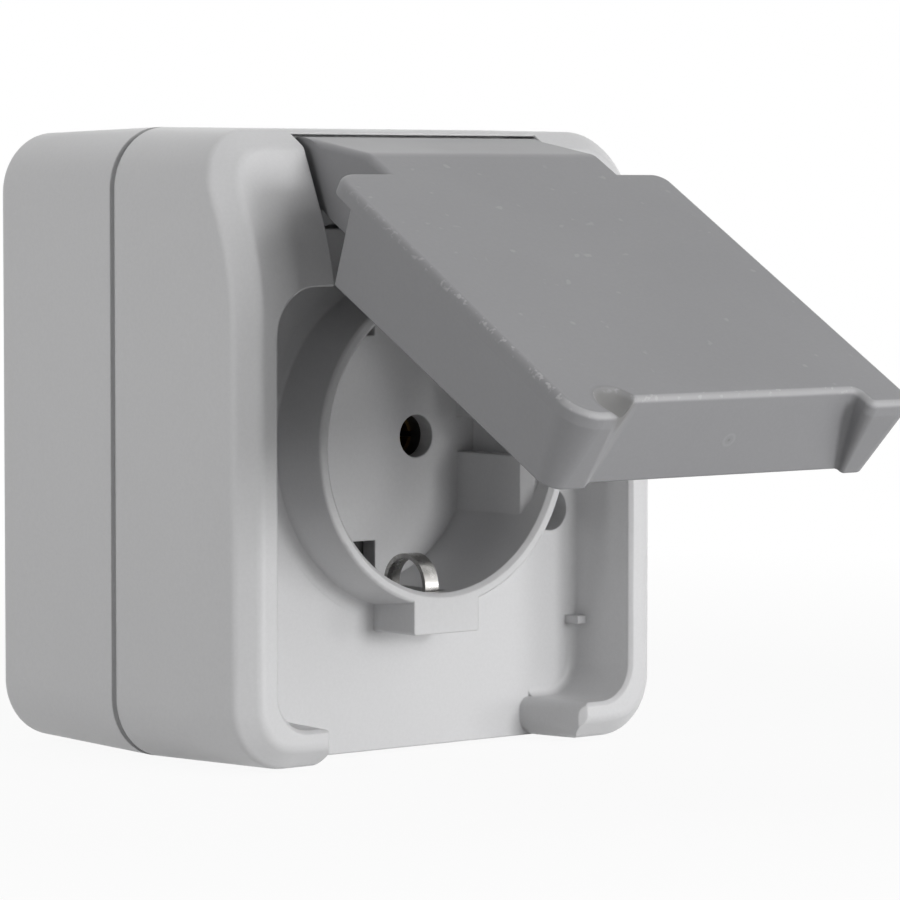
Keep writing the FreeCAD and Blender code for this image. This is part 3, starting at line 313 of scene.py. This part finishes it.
    def mark_gate(self, sheet: NodeSheet, shut: bpy.types.NodeSocket,
                  colour: bpy.types.NodeSocket) -> bpy.types.NodeSocket:
        """Lays the faint ring of the mould's gate, with its dark centre, on the front skirt.

        Args:
            sheet: The material being built.
            shut: Point on the shut lid, measured from the hinge.
            colour: Colour of the worn plastic.

        Returns:
            The colour with the gate's mark.
        """
        far = self.reach(sheet, shut, self.gate_mm)
        inside, outside, middle = [[edge * MM for edge in edges]
                                   for edges in (self.ring_inside_mm, self.ring_outside_mm, self.dot_mm)]
        ring = sheet.share(Rise(far, *inside), Rise(far, *outside, 0.0, self.ring_share))
        ringed = sheet.add("ShaderNodeMix", {"Factor": ring, "A": colour}, {"B": linear(self.pale)}, data_type="RGBA")
        dot = sheet.share(Rise(far, *middle, 0.0, self.dot_share))
        return sheet.add("ShaderNodeMix", {"Factor": dot, "A": ringed.outputs["Result"]}, {"B": linear(self.dark)},
                         data_type="RGBA").outputs["Result"]


@dataclass(frozen=True)
class MouldedPlastic:
    """Injection-moulded plastic: even colour, a spark-eroded grain, softly rounded edges and a satin gloss.

    The real grain is about 0.1 mm wide. It is drawn four to six times as wide, so that it shows.
    """

    name: str
    colour: str
    tint: str
    roughness: float
    grain_mm: float
    grain_depth_mm: float
    wear: LidWear | None = None
    specular: float = 0.4
    edge_mm: float = 0.35
    cloud_mm: float = 30.0
    gloss_drift: float = 0.04
    grain_band: tuple[float, float] = (0.35, 0.65)
    grain_tone: tuple[float, float] = (0.985, 1.015)

    def build(self) -> bpy.types.Material:
        """Makes the plastic's material.

        Returns:
            The finished material.
        """
        sheet = NodeSheet.material(self.name)
        place = sheet.add("ShaderNodeTexCoord").outputs["Object"]
        cloud = sheet.add("ShaderNodeTexNoise", {"Vector": place}, {"Scale": per_metre(self.cloud_mm), "Detail": 3.0})
        tone = sheet.add("ShaderNodeMix", {"Factor": cloud.outputs["Fac"]},
                         {"A": linear(self.colour), "B": linear(self.tint)}, data_type="RGBA")
        grain = sheet.add("ShaderNodeTexNoise", {"Vector": place},
                          {"Scale": per_metre(self.grain_mm), "Detail": 4.0, "Roughness": 0.6})
        speckle = sheet.share(Rise(grain.outputs["Fac"], *self.grain_band, *self.grain_tone))
        colour = sheet.add("ShaderNodeMix", {"A": tone.outputs["Result"], "B": speckle},
                           {"Factor": 1.0}, data_type="RGBA", blend_type="MULTIPLY").outputs["Result"]
        if self.wear:
            colour = self.wear.rub(sheet, place, colour)
        gloss = sheet.share(Rise(cloud.outputs["Fac"], *NOISE_BAND, self.roughness - self.gloss_drift,
                                 self.roughness + self.gloss_drift))
        soft = sheet.add("ShaderNodeBevel", values={"Radius": self.edge_mm * MM}, samples=4)
        bump = sheet.add("ShaderNodeBump", {"Height": grain.outputs["Fac"], "Normal": soft.outputs[0]},
                         {"Strength": 0.35, "Distance": self.grain_depth_mm * MM})
        shader = sheet.add("ShaderNodeBsdfPrincipled",
                           {"Base Color": colour, "Roughness": gloss, "Normal": bump.outputs[0]},
                           {"IOR": 1.53, "Specular IOR Level": self.specular})
        return sheet.close(shader)


@dataclass(frozen=True)
class MouldedRubber:
    """Moulded EPDM: near black, matt, with a faint dusty bloom."""

    name: str = "moulded_epdm"
    colour: str = "#2A2A2B"
    bloom: str = "#3B3B3C"
    bloom_mm: float = 2.5
    roughness: float = 0.75

    def build(self) -> bpy.types.Material:
        """Makes the rubber's material.

        Returns:
            The finished material.
        """
        sheet = NodeSheet.material(self.name)
        place = sheet.add("ShaderNodeTexCoord").outputs["Object"]
        cloud = sheet.add("ShaderNodeTexNoise", {"Vector": place}, {"Scale": per_metre(self.bloom_mm), "Detail": 5.0})
        tone = sheet.add("ShaderNodeMix", {"Factor": cloud.outputs["Fac"]},
                         {"A": linear(self.colour), "B": linear(self.bloom)}, data_type="RGBA")
        bump = sheet.add("ShaderNodeBump", {"Height": cloud.outputs["Fac"]}, {"Strength": 0.2, "Distance": 0.05 * MM})
        shader = sheet.add("ShaderNodeBsdfPrincipled",
                           {"Base Color": tone.outputs["Result"], "Normal": bump.outputs[0]},
                           {"Roughness": self.roughness, "IOR": 1.52})
        return sheet.close(shader)


@dataclass(frozen=True)
class StampedMetal:
    """Stamped or turned metal: fine lines from the tool, and dull patches where it was handled."""

    name: str
    colour: str
    dull: str
    roughness: float
    line_mm: float
    patch_mm: float = 1.6
    gloss_range: tuple[float, float] = (0.75, 1.35)

    def build(self) -> bpy.types.Material:
        """Makes the metal's material.

        Returns:
            The finished material.
        """
        sheet = NodeSheet.material(self.name)
        place = sheet.add("ShaderNodeTexCoord").outputs["Object"]
        stretched = sheet.add("ShaderNodeMapping", {"Vector": place}, {"Scale": (1.0, 0.12, 1.0)})
        lines = sheet.add("ShaderNodeTexNoise", {"Vector": stretched.outputs[0]},
                          {"Scale": per_metre(self.line_mm), "Detail": 3.0})
        patches = sheet.add("ShaderNodeTexNoise", {"Vector": place}, {"Scale": per_metre(self.patch_mm), "Detail": 4.0})
        tone = sheet.add("ShaderNodeMix", {"Factor": patches.outputs["Fac"]},
                         {"A": linear(self.colour), "B": linear(self.dull)}, data_type="RGBA")
        gloss = sheet.share(Rise(patches.outputs["Fac"], *NOISE_BAND,
                                 *(self.roughness * change for change in self.gloss_range)))
        bump = sheet.add("ShaderNodeBump", {"Height": lines.outputs["Fac"]}, {"Strength": 0.25, "Distance": 0.02 * MM})
        shader = sheet.add("ShaderNodeBsdfPrincipled",
                           {"Base Color": tone.outputs["Result"], "Roughness": gloss, "Normal": bump.outputs[0]},
                           {"Metallic": 1.0})
        return sheet.close(shader)


FINISHES: dict[Slot, MouldedPlastic | MouldedRubber | StampedMetal] = {
    # Pale ABS from a polished mould: broad soft highlights and hardly any grain.
    Slot.SHELL: MouldedPlastic("moulded_abs_light_grey", "#CECECF", "#CBCBCC", 0.40, 0.45, 0.006),
    # Darker ABS from an eroded mould: duller, with a grain that breaks the highlights up.
    Slot.LID: MouldedPlastic("moulded_abs_mid_grey", "#88888A", "#858587", 0.48, 0.55, 0.02, wear=LidWear()),
    Slot.RUBBER: MouldedRubber(),
    # Brass darkened as painted shade for the deep pin holes, where it is seen only as a brown shade.
    Slot.BRASS: StampedMetal("stamped_brass", "#8A7044", "#5B4A2E", 0.45, 0.3),
    # Zinc plating: cool, pale and a little dull.
    Slot.STEEL: StampedMetal("zinc_plated_steel", "#B9BBBE", "#97999C", 0.34, 0.25),
    # Thermoset behind the slots, coloured near black as painted shade, so that they look deep.
    Slot.INSULATOR: MouldedPlastic("moulded_thermoset", "#2B2A2A", "#333232", 0.5, 0.6, 0.03),
    # Nickel plating, worn by plugs: the brightest spot, with dull patches.
    Slot.EARTH: StampedMetal("nickel_plated_bronze", "#CBCAC8", "#7F7D79", 0.27, 0.35),
}


@dataclass
class CadPieces:
    """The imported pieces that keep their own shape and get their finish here."""

    materials: dict[Slot, bpy.types.Material] = field(default_factory=dict)

    def dress(self) -> None:
        """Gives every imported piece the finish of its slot."""
        for slot, finish in FINISHES.items():
            self.materials[slot] = finish.build()
        for entry in frame["record"]["subparts"]:
            piece = frame["nodes"][entry["node"]]
            piece.data.materials.clear()
            piece.data.materials.append(self.materials[Slot(entry["material_slot"])])
            LOG.info("dressed %s", entry["node"])


@dataclass(frozen=True)
class Lamp:
    """One soft square lamp, with its power in watts."""

    name: str
    place_mm: tuple[float, float, float]
    size_mm: float
    power: float


LAMPS = (
    Lamp("front_low", (150, -700, 60), 200, 1.95),
    Lamp("front", (0, -750, 200), 300, 1.3),
    Lamp("front_high", (300, -600, 330), 300, 0.9),
    Lamp("right_front_low", (450, -550, 0), 150, 0.5),
    Lamp("left", (-750, 0, 220), 480, 2.2),
    Lamp("above_behind", (0, 300, 650), 900, 1.8),
    Lamp("behind_right", (500, 500, 400), 400, 0.27),
)


@dataclass
class Studio:
    """Pale floor, soft lamps and the camera of the photograph."""

    turn_deg: float = 40.628
    tilt_deg: float = 3.325
    lens_mm: float = 182.6
    camera_mm: tuple[float, float, float] = (-391.8, -508.0, 34.0)
    aim_mm: tuple[float, float, float] = (0.0, -40.0, 0.0)
    floor_half_mm: float = 4000.0
    pale: str = "#E2E2E2"
    haze: float = 0.01
    shadow_mm: tuple[float, float] = (120.0, 320.0)
    shadow_share: float = 0.93
    floor_gap_mm: float = 0.2

    def build(self) -> None:
        """Makes the floor, the lamps, the world and the camera."""
        self.add_floor()
        self.add_world()
        for lamp in LAMPS:
            self.add_lamp(lamp)
        self.add_camera()

    def add_floor(self) -> None:
        """Lays a pale floor under the housing, white to the camera apart from its shadow."""
        low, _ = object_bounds()
        mesh = bpy.data.meshes.new("floor")
        shape = bmesh.new()
        bmesh.ops.create_grid(shape, x_segments=1, y_segments=1, size=self.floor_half_mm * MM)
        bmesh.ops.translate(shape, verts=shape.verts, vec=(0, 0, low[2] - self.floor_gap_mm * MM))
        shape.to_mesh(mesh)
        shape.free()
        floor = bpy.data.objects.new("floor", mesh)
        bpy.context.scene.collection.objects.link(floor)
        sheet = NodeSheet.material("studio_paper")
        shader = sheet.add("ShaderNodeBsdfDiffuse", values={"Color": linear(self.pale)})
        glow = sheet.add("ShaderNodeEmission", values={"Color": (1, 1, 1, 1), "Strength": 1.0})
        place = sheet.add("ShaderNodeTexCoord").outputs["Object"]
        far = sheet.add("ShaderNodeVectorMath", {0: place}, operation="LENGTH").outputs["Value"]
        share = sheet.share(Rise(sheet.seen(), 0.0, 1.0),
                            Rise(far, *(edge * MM for edge in self.shadow_mm), self.shadow_share, 1.0))
        mixed = sheet.add("ShaderNodeMixShader", {0: share, 1: shader.outputs[0], 2: glow.outputs[0]})
        mesh.materials.append(sheet.close(mixed))
        floor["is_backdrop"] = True

    def add_world(self) -> None:
        """Dark surroundings for the lamps to stand out from, white where the camera sees them."""
        world = bpy.data.worlds.new("studio")
        bpy.context.scene.world = world
        sheet = NodeSheet(world)
        strength = sheet.share(Rise(sheet.seen(), 0.0, 1.0, self.haze, 1.0))
        background = sheet.add("ShaderNodeBackground", {"Strength": strength}, {"Color": (1, 1, 1, 1)})
        sheet.add("ShaderNodeOutputWorld", {"Surface": background.outputs[0]})

    def add_lamp(self, lamp: Lamp) -> None:
        """Adds one soft square lamp that faces the housing.

        Args:
            lamp: The lamp's name, place, size and power.
        """
        light = bpy.data.lights.new(lamp.name, "AREA")
        light.energy = lamp.power
        light.size = lamp.size_mm * MM
        holder = bpy.data.objects.new(lamp.name, light)
        place = Vector(lamp.place_mm) * MM
        aim = Vector(self.aim_mm) * MM
        holder.matrix_world = Matrix.Translation(place) @ (aim - place).to_track_quat("-Z", "Y").to_matrix().to_4x4()
        bpy.context.scene.collection.objects.link(holder)

    def add_camera(self) -> None:
        """Sets the camera that was fitted to the photograph."""
        turn = math.radians(self.turn_deg)
        tilt = math.radians(self.tilt_deg)
        back = Vector((-math.sin(turn) * math.cos(tilt), -math.cos(turn) * math.cos(tilt), math.sin(tilt)))
        right = Vector((math.cos(turn), -math.sin(turn), 0))
        up = back.cross(right)
        camera = bpy.data.cameras.new("camera")
        camera.lens = self.lens_mm
        camera.sensor_width = 36.0
        camera.clip_start = 0.01
        holder = bpy.data.objects.new("camera", camera)
        turned = Matrix((right, up, back)).transposed().to_4x4()
        holder.matrix_world = Matrix.Translation(Vector(self.camera_mm) * MM) @ turned
        bpy.context.scene.collection.objects.link(holder)
        bpy.context.scene.camera = holder


def main() -> None:
    """Builds the looks in order."""
    logging.basicConfig(level=logging.INFO, format="%(name)s: %(message)s")
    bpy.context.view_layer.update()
    scene = bpy.context.scene
    scene.view_settings.view_transform = "Standard"
    Studio().build()
    CadPieces().dress()


if __name__ == "__main__":
    main()
